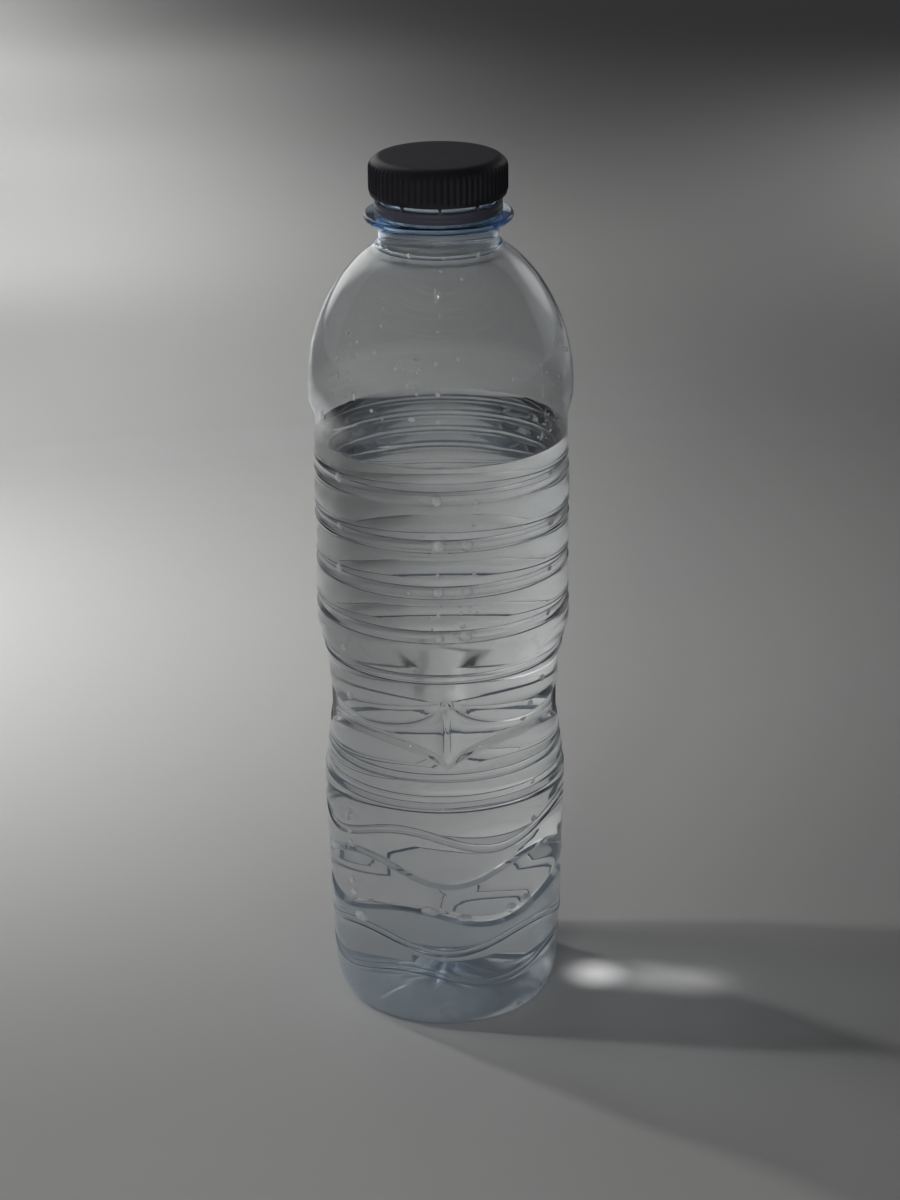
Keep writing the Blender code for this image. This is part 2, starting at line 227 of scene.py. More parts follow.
# moulded plastic: darker and lighter tone and roughness of each piece, and what both share
plastic = {
    "cap": ((0.0140, 0.0140, 0.0190), (0.0180, 0.0180, 0.0240), 0.40),
    "band": ((0.080, 0.082, 0.108), (0.096, 0.098, 0.130), 0.28),
    "scuffTone": (0.06, 0.062, 0.072),
    "ior": 1.49,
    "specular": 0.38,
    "bump": 0.00002,
}


def capPaint(piece):
    # dark blue moulded plastic, with fine scuffs
    dark, light, rough = plastic[piece]
    paint = Paint(bpy.data.materials.new(piece + "_plastic"))
    cloud = paint.noise(60.0, 4.0)
    grain = paint.noise(1500.0, 2.0)
    scuffs = paint.between(paint.noise(260.0, 5.0, 0.7), 0.58, 0.75)
    colour = paint.mixColour(cloud, dark, light)
    colour = paint.mixColour(scuffs * 0.25, colour, plastic["scuffTone"])
    sockets = {
        "Base Color": colour,
        "Roughness": scuffs * 0.16 + cloud * 0.08 + rough,
        "IOR": plastic["ior"],
        "Specular IOR Level": plastic["specular"],
        "Normal": paint.bump(grain, plastic["bump"]),
    }
    return paint.surface(paint.add("ShaderNodeBsdfPrincipled", {}, sockets))


def finish(name, shape, material, body, replaced, smoothAngle):
    bmesh.ops.recalc_face_normals(shape, faces=shape.faces)
    mesh = bpy.data.meshes.new(name)
    shape.to_mesh(mesh)
    shape.free()
    piece = bpy.data.objects.new(name, mesh)
    bpy.context.scene.collection.objects.link(piece)
    mesh.materials.append(material)
    mesh.shade_smooth()
    mesh.set_sharp_from_angle(angle=math.radians(smoothAngle))
    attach(piece, body)
    if replaced:
        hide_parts(*replaced)
    triangles = sum(len(face.vertices) - 2 for face in mesh.polygons)
    print(name, len(mesh.vertices), "points", triangles, "triangles")


def turned(profile, sides, closed=False):
    # spins a profile of (radius, level) in millimetres round the axis
    shape = bmesh.new()
    points = [shape.verts.new((radius * mm, 0.0, level * mm)) for radius, level in profile]
    pairs = list(zip(points, points[1:]))
    if closed:
        pairs.append((points[-1], points[0]))
    edges = [shape.edges.new(pair) for pair in pairs]
    bmesh.ops.spin(
        shape, geom=points + edges, cent=(0, 0, 0), axis=(0, 0, 1),
        angle=fullTurn, steps=sides, use_merge=True, use_duplicate=False,
    )
    bmesh.ops.remove_doubles(shape, verts=shape.verts, dist=0.000001)
    return shape


def arc(centre, middle, across, height, start, end, steps):
    # points of an ellipse in the profile, at angles in degrees from outwards
    angles = [math.radians(start + (end - start) * step / steps) for step in range(steps + 1)]
    return [(centre + across * math.cos(angle), middle + height * math.sin(angle)) for angle in angles]


def readTable(level, table):
    # value at a level, from rows of (level, value) that run downwards
    if level >= table[0][0]:
        return table[0][1]
    for (upper, first), (lower, second) in zip(table, table[1:]):
        if level >= lower:
            return second + (first - second) * (level - lower) / (upper - lower)
    return table[-1][1]


def ease(share):
    share = min(max(share, 0.0), 1.0)
    return share * share * (3.0 - 2.0 * share)


# the blown body, in millimetres and degrees
body = {
    "sides": 160,
    "repeats": 4,
    "shoulder": (158.5, 31.27, 38.3, 191.4),  # level, radius, half height, top
    "shoulderSteps": 30,
    "underShoulder": (0.75, 12),  # gap and number of the rows just under the shoulder
    "rowGap": 2.0,  # the most there is between two rows of the wall
    "radii": (
        (155.6, 31.05), (153.4, 30.45), (151.5, 29.95), (146.0, 29.95), (134.8, 30.3), (123.0, 30.2),
        (112.0, 30.2), (101.0, 30.4), (97.0, 29.5), (93.0, 28.6), (90.0, 28.1), (89.0, 27.9),
        (71.0, 28.0), (66.0, 28.7), (60.0, 29.5), (54.0, 29.45), (46.0, 29.1), (38.0, 28.95),
        (28.0, 28.7), (20.0, 28.45), (10.5, 28.1),
    ),
    # level, half height of the wave, angle of a crest, width, depth, lean, form: 1 straight sides, 2 round
    "grooves": (
        (140.6, 0.0, 0.0, 3.4, 0.36, 0.0, 2.0),
        (129.0, 0.0, 0.0, 3.2, 0.55, 0.0, 2.0),
        (117.5, 0.0, 0.0, 3.2, 0.55, 0.0, 2.0),
        (106.4, 0.0, 0.0, 3.2, 0.55, 0.0, 2.0),
        (95.2, 0.0, 0.0, 2.6, 0.5, 0.0, 2.0),
        (69.1, 0.0, 0.0, 2.0, 0.42, 0.0, 2.0),
        (62.9, 0.0, 0.0, 3.4, 0.5, 0.0, 2.0),
        (52.5, 2.7, -20.0, 2.2, 0.5, 0.0, 2.0),
        (43.5, 2.9, -42.0, 2.1, 0.8, 0.0, 1.0),
        (32.0, 2.2, -20.0, 3.0, 1.0, -0.4, 1.0),
        (23.8, 2.2, -43.0, 1.8, 0.35, 0.0, 2.0),
        (14.6, 2.1, -20.0, 1.6, 0.35, 0.0, 2.0),
    ),
    "waveSpan": (60.0, 9.0),
    "waveShare": 0.65,  # the wall waves with a groove as far as this share of its width
    "waveTop": 150.0,  # nothing waves above this level
    "shapedTop": 160.0,  # nothing is shaped by angle above this level
    "swell": 0.15,
    "waistRing": 90.0,
    "waistBend": 89.0,
    "waistEnd": 70.4,
    "waistTop": (88.0, 81.0),  # at a ridge, and half way between two
    "waistFoot": (71.6, 78.4),
    "waistSlope": 1.0,
    "cusp": 15.0,  # how many degrees from a ridge the edges level out
    "gather": (66.0, 94.0, 5.0, 0.18),  # foot, top, fade and strength of the denser columns at the ridges
    "waistRadius": 26.5,
    "lip": 0.13,  # height of the sharp edges of a round groove
    "lipShare": 0.17,
    "ridge": {
        "angle": 1.5, "height": 1.9, "halfAngle": 6.6, "halfLength": 8.6, "soft": 0.04,
        "crown": (0.72, 0.45),  # where the flanks level out, at the front and elsewhere
        "bead": (0.38, 0.75),  # height and half angle of the beads along the front crown's edges
    },
    "heel": (10.5, 24.4, 22.6),  # level, outer and inner radius of the standing ring
    "heelSteps": 14,
    "pushUp": {
        "height": 7.6, "flutes": 8, "depth": 0.5, "reach": 13.0, "gate": 2.2, "gateDrop": 1.2,
        "steps": 22, "thicker": 1.3,  # rows, and what the wall gains at the axis
    },
    "wall": 0.34,
}
ridgeSpacing = 360.0 / body["repeats"]


def soften(value, width=0.1):
    return 0.5 * (value + math.sqrt(value * value + width * width))


def grooveDepth(level):
    depth = 0.0
    for middle, _, _, width, deep, lean, form in body["grooves"]:
        offset = (level - middle) / (width / 2)
        if abs(offset) < 1.5:
            reach = 1.0 - lean if offset > lean else 1.0 + lean
            depth += deep * soften(1.0 - abs((offset - lean) / reach) ** form)
            if form == 2.0:
                depth -= body["lip"] * ease(1.0 - abs(abs(offset) - 1.0) / body["lipShare"])
    return depth


def bandSwell(level):
    edges = [(middle + width / 2, middle - width / 2) for middle, _, _, width, *_ in body["grooves"]]
    for (_, upper), (lower, _) in zip(edges, edges[1:]):
        if lower < level < upper and not lower < body["waistRing"] < upper:
            return body["swell"] * math.sin(math.pi * (level - lower) / (upper - lower))
    return 0.0


def wallRadius(level):
    # outer radius at a mean level, before anything waves
    shoulderLevel, shoulderRadius, shoulderHeight, _ = body["shoulder"]
    if level >= shoulderLevel:
        return shoulderRadius * math.sqrt(1.0 - ((level - shoulderLevel) / shoulderHeight) ** 2)
    if level > body["radii"][0][0]:
        share = (level - body["radii"][0][0]) / (shoulderLevel - body["radii"][0][0])
        return body["radii"][0][1] + (shoulderRadius - body["radii"][0][1]) * math.sin(share * math.pi / 2)
    radius = readTable(level, body["radii"]) + bandSwell(level) - grooveDepth(level)
    top = sum(body["waistTop"]) / 2
    foot = sum(body["waistFoot"]) / 2
    slope = body["waistSlope"]
    inside = ease((top + slope - level) / (2 * slope)) * ease((level - foot + slope) / (2 * slope))
    return radius + (body["waistRadius"] - radius) * inside


def bodyLevels():
    # mean levels of the rows, close together where the wall bends
    levels = []
    for middle, _, _, width, _, lean, _ in body["grooves"]:
        shares = (-1.17, -1.0, -0.92, -0.83, -0.5, lean, 0.5, 0.83, 0.92, 1.0, 1.17)
        levels += [middle + width / 2 * share for share in shares]
    for edge in ("waistTop", "waistFoot"):
        middle = sum(body[edge]) / 2
        shares = (-1.1, -0.8, -0.5, -0.25, 0.0, 0.25, 0.5, 0.8, 1.1)
        levels += [middle + body["waistSlope"] * share for share in shares]
    gap, count = body["underShoulder"]
    levels += [body["shoulder"][0] - gap * step for step in range(1, count + 1)]
    levels += [body["waistRing"], body["waistBend"], body["heel"][0]]
    levels = sorted({round(level, 3) for level in levels}, reverse=True)
    filled = []
    for upper, lower in zip(levels, levels[1:]):
        steps = max(1, math.ceil((upper - lower) / body["rowGap"]))
        filled += [upper + (lower - upper) * step / steps for step in range(steps)]
    return filled + [levels[-1]]


def wave(angle, half, crest):
    return half * math.cos(math.radians(body["repeats"] * (angle - crest)))


def offRidge(angle):
    # degrees from the nearest ridge of the waist
    return abs((angle - body["ridge"]["angle"] + ridgeSpacing / 2) % ridgeSpacing - ridgeSpacing / 2)


def lift(angle, level):
    # how far the wall at this angle and mean level is raised, so that grooves and edges wave
    cusp = body["cusp"]
    fromRidge = (1.0 - math.exp(-offRidge(angle) / cusp)) / (1.0 - math.exp(-ridgeSpacing / 2 / cusp))
    slope = 1.3 * body["waistSlope"]
    rows = [(body["waistRing"], 0.0)]
    for atRidge, betweenRidges in (body["waistTop"], body["waistFoot"]):
        mean = (atRidge + betweenRidges) / 2
        raised = atRidge + (betweenRidges - atRidge) * fromRidge - mean
        rows += [(mean + slope, raised), (mean - slope, raised)]
    rows += [(body["waistEnd"], 0.0), (body["waveSpan"][0], 0.0)]
    for mean, half, crest, width, *_ in body["grooves"]:
        if half:
            raised = wave(angle, half, crest)
            reach = body["waveShare"] * width
            rows += [(mean + reach, raised), (mean - reach, raised)]
    rows.append((body["waveSpan"][1], 0.0))
    return readTable(level, rows)


def ridgeHeight(angle, level):
    # gables with pointed ends, upright across the waist
    ridge = body["ridge"]
    off = offRidge(angle)
    middle = (body["waistTop"][0] + body["waistFoot"][0]) / 2
    along = (level - middle) / ridge["halfLength"]
    if abs(along) >= 1.0:
        return 0.0
    front = abs(angle) < ridgeSpacing / 2
    crown = ridge["crown"][0] if front else ridge["crown"][1]
    flank = min(1.0 - along**4 - off / ridge["halfAngle"], crown)
    gable = ridge["height"] * (soften(flank, ridge["soft"]) - soften(-1.0, ridge["soft"]))
    edge = max(1.0 - along**4 - crown, 0.0) * ridge["halfAngle"]
    bead, beadHalf = ridge["bead"]
    return gable + front * bead * (1.0 - along**4) * ease(1.0 - abs(off - edge) / beadHalf)


def gather(angle, level):
    # draws the columns of points together at the ridges of the waist
    foot, top, fade, strength = body["gather"]
    near = ease((level - foot) / fade) * ease((top - level) / fade)
    phase = math.radians(body["repeats"] * (angle - body["ridge"]["angle"]))
    return angle - near * math.degrees(strength * math.sin(phase))


def shapeBody(shape):
    flutes = body["pushUp"]["flutes"]
    heelLevel, ringOuter, ringInner = body["heel"]
    for point in shape.verts:
        radius = point.co.xy.length / mm
        level = point.co.z / mm
        angle = math.degrees(math.atan2(point.co.x, -point.co.y))
        if radius > ringOuter and level < body["shapedTop"]:
            angle = gather(angle, level)
            level += lift(angle, level)
            radius += ridgeHeight(angle, level)
        elif level < heelLevel and radius < ringInner:
            share = min(radius / body["pushUp"]["reach"], 1.0)
            flute = math.cos(math.radians(flutes * (angle - body["ridge"]["angle"])))
            level += body["pushUp"]["depth"] * flute * math.sin(math.pi * share) ** 2
        bearing = math.radians(angle)
        point.co = (radius * math.sin(bearing) * mm, -radius * math.cos(bearing) * mm, level * mm)


def pushUpRise(radius):
    share = radius / body["heel"][2]
    return body["pushUp"]["height"] * (0.5 + 0.5 * math.cos(math.pi * min(share, 1.0)))


def baseThickness(radius):
    share = radius / body["heel"][2]
    return body["wall"] + body["pushUp"]["thicker"] * (1.0 - share) ** 2


def baseRows(thickness):
    # from the standing ring to the axis, raised by the wall's thickness
    rim, steps = body["heel"][2], body["pushUp"]["steps"]
    radii = [rim * (1.0 - step / steps) for step in range(steps)] + [0.0]
    return [(radius, pushUpRise(radius) + thickness(radius)) for radius in radii]


def undersideRows():
    # the same without a thickness, with the gate mark at the axis
    reach, top = body["pushUp"]["gate"], body["pushUp"]["height"]
    low = top - body["pushUp"]["gateDrop"]
    rows = [row for row in baseRows(lambda radius: 0.0) if row[0] > reach + 0.6]
    rows += [(reach + 0.4, top - 0.25), (reach + 0.1, top - 0.5), (reach, low + 0.2)]
    return rows + [(reach - 0.25, low), (reach * 0.5, low), (0.0, low)]


def heelRows(inset):
    level, ringOuter, ringInner = body["heel"]
    across = wallRadius(level) - ringOuter - inset
    rows = arc(ringOuter, level, across, level - inset, 0.0, -90.0, body["heelSteps"])[1:]
    return rows + [((ringOuter + ringInner) / 2, inset)]


# the neck finish, in millimetres
neck = {
    "mouth": 211.2,
    "bore": 12.2,
    "radius": 13.1,
    "straight": (0.5, 204.2, 24),  # start below the mouth, foot and steps of the part that has the thread
    "bead": (13.7, 203.2, 0.7),  # radius, level, half height
    "ring": (17.35, 198.45, 200.0),  # radius, foot, top
    "collar": 14.0,
    "collarRow": 196.0,
    "baseRing": (14.9, 192.5, 0.6),  # radius, level, half height
    # level, and how much wider than at the mouth the bore is there
    "boreRows": (
        (205.0, 0.0), (198.6, 0.0), (197.2, 0.35), (195.8, 0.75), (194.0, 1.0), (192.8, 1.2), (191.9, 1.9),
    ),
    "innerTop": 191.0,  # where the inside of the shoulder starts
    "walls": ((191.0, 0.8), (189.0, 0.55), (184.0, 0.42), (165.0, body["wall"])),  # level, thickness
    "thread": {
        "levels": (203.9, 210.9), "start": 204.7, "raised": 0.4, "pitch": 3.0, "turns": 1.6,
        "height": 0.85, "width": 1.5, "crest": 1.6, "fade": 25.0,
    },
}


def neckRows():
    mouth, radius = neck["mouth"], neck["radius"]
    beadRadius, beadLevel, beadHalf = neck["bead"]
    ringRadius, ringFoot, ringTop = neck["ring"]
    baseRadius, baseLevel, baseHalf = neck["baseRing"]
    ringHalf = (ringTop - ringFoot) / 2
    below, foot, steps = neck["straight"]
    start = mouth - below
    rows = [(neck["bore"] + 0.25, mouth), (radius - 0.3, mouth)]
    rows += [(radius - 0.09, mouth - 0.1), (radius, mouth - 0.3)]
    rows += [(radius, start - (start - foot) * step / steps) for step in range(steps + 1)]
    rows += arc(radius - 0.05, beadLevel, beadRadius - radius + 0.05, beadHalf, 80.0, -80.0, 8)
    rows += [(radius, ringTop + 0.3), (radius + 0.25, ringTop + 0.05), (radius + 0.6, ringTop)]
    rows += arc(ringRadius - 0.8, (ringFoot + ringTop) / 2, 0.8, ringHalf, 90.0, -90.0, 10)
    collar = neck["collar"]
    rows += [(collar + 0.7, ringFoot), (collar + 0.2, ringFoot - 0.15), (collar, ringFoot - 0.6)]
    rows += [(collar, neck["collarRow"]), (collar, baseLevel + baseHalf + 0.6)]
    return rows + arc(collar, baseLevel, baseRadius - collar, baseHalf, 80.0, -20.0, 6)


def shoulderRows(top):
    level, radius, height, _ = body["shoulder"]
    start = math.degrees(math.asin((top - level) / height))
    return arc(0.0, level, radius, height, start, 0.0, body["shoulderSteps"])


def shapeThread(shape):
    thread = neck["thread"]
    foot, top = thread["levels"]
    reach = thread["turns"] * 360.0
    for point in shape.verts:
        radius = point.co.xy.length / mm
        level = point.co.z / mm
        if radius < neck["radius"] - 0.2 or not foot < level < top:
            continue
        angle = math.degrees(math.atan2(point.co.y, point.co.x)) % 360.0
        raised = 0.0
        for turn in range(3):
            along = angle + 360.0 * turn
            if along > reach:
                continue
            middle = thread["start"] + thread["raised"] + thread["pitch"] * along / 360.0
            off = abs(level - middle) / (thread["width"] / 2)
            ends = ease(along / thread["fade"]) * ease((reach - along) / thread["fade"])
            raised = max(raised, ends * ease(thread["crest"] * (1.0 - off)) * thread["height"])
        point.co.x *= 1.0 + raised / radius
        point.co.y *= 1.0 + raised / radius


def makeBottle(material):
    wall = body["wall"]
    levels = bodyLevels()
    outer = neckRows() + shoulderRows(body["shoulder"][3])
    outer += [(wallRadius(level), level) for level in levels]
    outer += heelRows(0.0) + undersideRows()
    inner = [(neck["bore"], neck["mouth"] - 0.25)]
    inner += [(neck["bore"] + wider, level) for level, wider in neck["boreRows"]]
    shoulder = shoulderRows(neck["innerTop"])
    inner += [(radius - readTable(level, neck["walls"]), level) for radius, level in shoulder]
    inner += [(wallRadius(level) - wall, level) for level in levels]
    inner += heelRows(wall) + baseRows(baseThickness)
    shape = turned(outer + inner[::-1], body["sides"], closed=True)
    shapeBody(shape)
    shapeThread(shape)
    finish("pet_bottle", shape, material, "bottle", ["bottle"], 50.0)


# the still water, in millimetres
water = {
    "level": 147.0,
    "rise": 0.7,  # how far it climbs the wall, and over which reach
    "reach": 1.6,
    "rims": (0.2, 0.4, 0.6, 0.75, 0.85, 0.9, 0.94, 0.97, 0.985, 1.0),  # rows of its top, as shares
    "gap": 0.2,  # from its level down to the first row of its side
    "overlap": 0.05,
}


def makeWater(material):
    inset = body["wall"] - water["overlap"]
    rim = wallRadius(water["level"]) - inset
    rows = [(0.0, water["level"])]
    for share in water["rims"]:
        radius = rim * share
        rows.append((radius, water["level"] + water["rise"] * math.exp((radius - rim) / water["reach"])))
    top = water["level"] - water["gap"]
    rows += [(wallRadius(level) - inset, level) for level in bodyLevels() if level < top]
    rows += heelRows(inset) + baseRows(lambda radius: baseThickness(radius) - water["overlap"])
    shape = turned(rows, body["sides"])
    shapeBody(shape)
    finish("water_fill", shape, material, "bottle", ["water"], 50.0)


# screw cap and tamper band, in millimetres
cap = {
    "radius": 15.8,
    "top": 213.0,
    "foot": 204.3,
    "edge": 2.6,
    "inner": 14.3,
    "roof": 211.5,
    "seal": (10.9, 11.9, 209.1),  # radii and foot of the plug seal
    "ridges": 72,
    "ridgeHeight": 0.25,
    "ridgeShare": 0.31,  # half of a ridge's width, as a share of the spacing
    "ridgeLevels": (204.9, 212.4),
    "ridgeEnds": (0.5, 1.1),  # how far a ridge takes to rise from its foot, and from its top
    "threadSteps": 22,
    "thread": {
        "start": 205.6, "pitch": 3.0, "turns": 1.6, "height": 0.22, "width": 1.1, "crest": 1.5, "fade": 0.06,
    },
    "bridges": 10,
    "bridgeAngle": 1.5,
    "bridge": (1.0, 0.95, 0.7),  # across, out from the axis, and height of each half
    "bridgeTip": 0.6,  # how wide the broken end of a bridge is, as a share
}
band = {
    "sides": 160, "inner": 14.0, "outer": 14.85, "foot": 200.3, "top": 202.9, "lip": 13.4, "step": 201.8,
}


def addBridges(shape, radius, level, up):
    # stubs of the torn bridges, thinner towards their ends
    across, out, height = cap["bridge"]
    for index in range(cap["bridges"]):
        angle = math.radians(cap["bridgeAngle"] + 360.0 * index / cap["bridges"])
        place = Matrix.Rotation(angle, 4, "Z") @ Matrix.Translation((0.0, -radius * mm, level * mm))
        size = Matrix.Diagonal((across * mm, out * mm, height * mm, 1.0))
        made = bmesh.ops.create_cube(shape, size=1.0, matrix=place @ size)["verts"]
        ends = [point for point in made if (point.co.z - level * mm) * up > 0.0]
        middle = sum((point.co for point in ends), Vector()) / len(ends)
        tip = (cap["bridgeTip"], cap["bridgeTip"], 1.0)
        bmesh.ops.scale(shape, vec=tip, space=Matrix.Translation(-middle), verts=ends)


def shapeCap(shape):
    foot, head = cap["ridgeLevels"]
    footEnd, headEnd = cap["ridgeEnds"]
    thread = cap["thread"]
    for point in shape.verts:
        radius = point.co.xy.length / mm
        level = point.co.z / mm
        turn = (math.atan2(point.co.x, -point.co.y) / fullTurn) % 1.0
        grown = 0.0
        if radius > cap["radius"] - cap["edge"] + 0.2 and level > foot - 0.4:
            across = abs((turn * cap["ridges"]) % 1.0 - 0.5) / cap["ridgeShare"]
            ends = ease((level - foot) / footEnd) * ease((head - level) / headEnd)
            grown = cap["ridgeHeight"] * ends * ease(1.0 - across)
        elif abs(radius - cap["inner"]) < 0.01 and foot < level < cap["roof"] - 0.4:
            for lap in range(2):
                along = turn + lap
                off = abs(level - thread["start"] - thread["pitch"] * along) / (thread["width"] / 2)
                ends = ease(along / thread["fade"]) * ease((thread["turns"] - along) / thread["fade"])
                grown -= thread["height"] * ends * ease(thread["crest"] * (1.0 - off))
        if grown:
            point.co.x *= 1.0 + grown / radius
            point.co.y *= 1.0 + grown / radius


def makeCap(material):
    radius, inner, top, foot, roof = (cap[part] for part in ("radius", "inner", "top", "foot", "roof"))
    edge, steps = cap["edge"], cap["threadSteps"]
    sealInner, sealOuter, sealFoot = cap["seal"]
    rows = [(0.0, top), (6.0, top), (11.0, top)]
    rows += arc(radius - edge, top - edge, edge, edge, 90.0, 0.0, 14)
    rows += [(radius, top - edge - 0.9 * step) for step in range(1, 6)]
    rows += [(radius, foot + 1.0), (radius, foot + 0.7), (radius, foot + 0.45)]
    rows += arc(radius - 0.25, foot + 0.25, 0.25, 0.25, 0.0, -90.0, 4)
    rows += [(inner + 0.15, foot), (inner, foot + 0.15)]
    rows += [(inner, foot + 0.4 + (roof - foot - 0.7) * step / steps) for step in range(steps + 1)]
    rows += [(inner - 0.3, roof), (sealOuter + 0.15, roof), (sealOuter, roof - 0.15)]
    rows += [(sealOuter, sealFoot + 0.3), (sealOuter - 0.2, sealFoot), (sealInner + 0.2, sealFoot)]
    rows += [(sealInner, sealFoot + 0.3), (sealInner, roof - 0.1), (sealInner - 0.1, roof), (0.0, roof)]
    shape = turned(rows, 6 * cap["ridges"])
    shapeCap(shape)
    addBridges(shape, inner + 0.1, foot + 0.05 - cap["bridge"][2] / 2, -1)
    finish("ribbed_cap", shape, material, "cap", ["screw_cap"], 35.0)


def makeBand(material):
    inner, outer, foot, top = band["inner"], band["outer"], band["foot"], band["top"]
    lip, step = band["lip"], band["step"]
    rows = [(outer - 0.4, top), (outer - 0.2, top - 0.05), (outer - 0.12, top - 0.2)]
    rows += [(outer - 0.16, step + 0.5), (outer - 0.18, step + 0.15), (outer - 0.03, step)]
    rows += [(outer, step - 0.2), (outer, foot + 0.3), (outer - 0.08, foot + 0.08), (outer - 0.25, foot)]
    rows += [(lip + 0.12, foot), (lip, foot + 0.1), (lip + 0.02, foot + 0.5)]
    rows += [(lip + 0.2, foot + 0.7), (inner - 0.05, foot + 0.85), (inner, foot + 1.0)]
    rows += [(inner, top - 0.2), (inner + 0.05, top - 0.05), (inner + 0.12, top)]
    shape = turned(rows, band["sides"], closed=True)
    addBridges(shape, (inner + outer) / 2, top - 0.05 + cap["bridge"][2] / 2, 1)
    finish("torn_band", shape, material, "bottle", ["tamper_band"], 35.0)


# water that clings to the wall, in degrees from the front and millimetres
drops = {
    # angle, level, width, height, lean from upright
    "beads": (
        (-2, 140, 2.3, 2.4), (15, 139.5, 1.6, 1.5), (-2, 129, 3.2, 3.1), (11, 129, 3.2, 2.8),
        (-2, 117.5, 2.6, 2.5), (11, 117.5, 2.6, 2.6), (-2, 106, 2.4, 2.3), (10, 106.5, 3.3, 2.9),
        (-15, 117, 1.1, 1.0), (9, 109, 1.2, 1.4), (-2, 112, 0.9, 0.9), (8, 112.5, 0.9, 1.0),
        (-2, 122, 1.1, 1.1), (14, 122, 1.1, 1.2), (14, 134, 0.9, 0.9), (1, 131.5, 1.0, 0.8),
        (-8, 131.5, 0.8, 0.7), (37, 132, 0.9, 0.9), (1, 190.5, 1.3, 1.6), (16, 189, 0.9, 1.1),
        (0, 186.5, 0.8, 1.2), (0, 182.5, 0.7, 0.9), (-1, 179, 0.7, 0.8), (-34, 184.5, 0.6, 0.6),
        (-32, 183, 0.5, 0.6), (-30, 179.5, 0.8, 0.9), (-49, 176.5, 0.9, 1.0), (-31, 174, 0.7, 0.9),
        (-52, 170.5, 1.0, 1.3), (-50, 167, 1.0, 1.4), (-44, 171.5, 0.8, 0.9), (-41, 167, 0.7, 0.9),
        (-39, 163.5, 1.0, 2.2), (-2, 172.5, 0.9, 1.5), (8, 173.5, 0.8, 1.2), (-11, 167.5, 1.1, 1.0),
        (-10, 166, 0.9, 1.3), (-1, 166, 1.2, 1.5), (-12, 160, 1.7, 1.1), (-30, 161, 0.9, 0.8),
        (-25, 159.5, 0.8, 0.9), (-1, 159.5, 1.0, 0.9), (33, 167.5, 0.9, 1.6), (49, 169, 1.6, 1.5),
        (77, 174, 0.8, 1.0), (75, 169, 1.0, 1.4), (75, 157.5, 1.0, 1.3), (-61, 156, 1.6, 2.4),
    ),
    # angle, level and width of drops that hang under an edge of the wall
    "hanging": (
        (-8, 33.4, 4.6), (9, 31.6, 3.6), (33, 32.6, 2.6), (42, 33.4, 3.4), (-46, 28.0, 4.4), (-51, 33.6, 2.4),
    ),
    "hangingForm": (0.62, 0.42),  # height and thickness, as shares of the width
    # angle and levels of beads down a column, with their width
    "columns": (
        (-52, (142, 130, 119.5, 99.5, 86, 81.5, 56, 54, 50, 47, 37), 1.9),
        (57, (142, 129.5, 118, 107, 89.5), 1.7),
        (46, (84.5, 80.5, 64, 54.5), 1.6),
        (-26, (193.1,), 1.1), (3, (192.9,), 1.1), (38, (192.7,), 1.4),
    ),
    # angle, level, width, length and lean of thin runs
    "runs": (
        (-2, 186, 0.75, 4.0, 6), (49, 164.5, 0.6, 6.5, -4), (-45, 155.2, 0.5, 10.0, -68),
        (-20, 153.0, 0.45, 9.0, -78),
    ),
    "reach": 31.25,  # how far from the axis a drop may stand
    "seed": 11,
    "flat": 0.4,  # thickness, as a share of the width or the height
    "sunk": 0.12,  # how far the flat side lies in the wall, as a share of half the thickness
    "heavy": 0.16,  # how much wider a drop is at its foot
    "fineFrom": 1.3,  # the width from which a drop is rounder
    "mistWidth": (0.3, 0.75),
    # middle angle and level, spread of both, and number of small drops
    "patches": (
        (55, 154, 8, 4, 22), (-14, 170, 6, 4, 18), (-48, 168, 10, 8, 16), (4, 112, 12, 5, 14),
        (60, 165, 12, 8, 12),
    ),
}


def wallPoint(angle, level):
    # a point of the outer wall; a few rounds find the mean level that is raised to this level
    radius = neck["baseRing"][0]
    if level <= body["shoulder"][3]:
        mean = level
        for _ in range(4):
            mean = level - (lift(angle, mean) if level < body["waveTop"] else 0.0)
        radius = wallRadius(mean) + ridgeHeight(angle, mean)
    bearing = math.radians(angle)
    return Vector((radius * math.sin(bearing), -radius * math.cos(bearing), level)) * mm


def addDrop(shape, angle, level, width, height, lean=0.0, flat=drops["flat"]):
    # a flattened ball of water with its flat side in the wall
    across = (wallPoint(angle + 0.8, level) - wallPoint(angle - 0.8, level)).normalized()
    upwards = (wallPoint(angle, level + 0.5) - wallPoint(angle, level - 0.5)).normalized()
    outwards = across.cross(upwards).normalized()
    upwards = outwards.cross(across)
    turn = Matrix((across, upwards, outwards)).transposed().to_4x4()
    turn = Matrix.Translation(wallPoint(angle, level)) @ turn @ Matrix.Rotation(math.radians(lean), 4, "Z")
    thick = min(width, height) * flat
    size = Matrix.Diagonal((width / 2 * mm, height / 2 * mm, thick * mm, 1.0))
    rounds = 3 if width > drops["fineFrom"] else 2
    made = bmesh.ops.create_icosphere(shape, subdivisions=rounds, radius=1.0)["verts"]
    for point in made:
        point.co.z = max(point.co.z, -drops["sunk"])
        point.co.x *= 1.0 - drops["heavy"] * point.co.y
    bmesh.ops.transform(shape, matrix=turn @ size, verts=made)


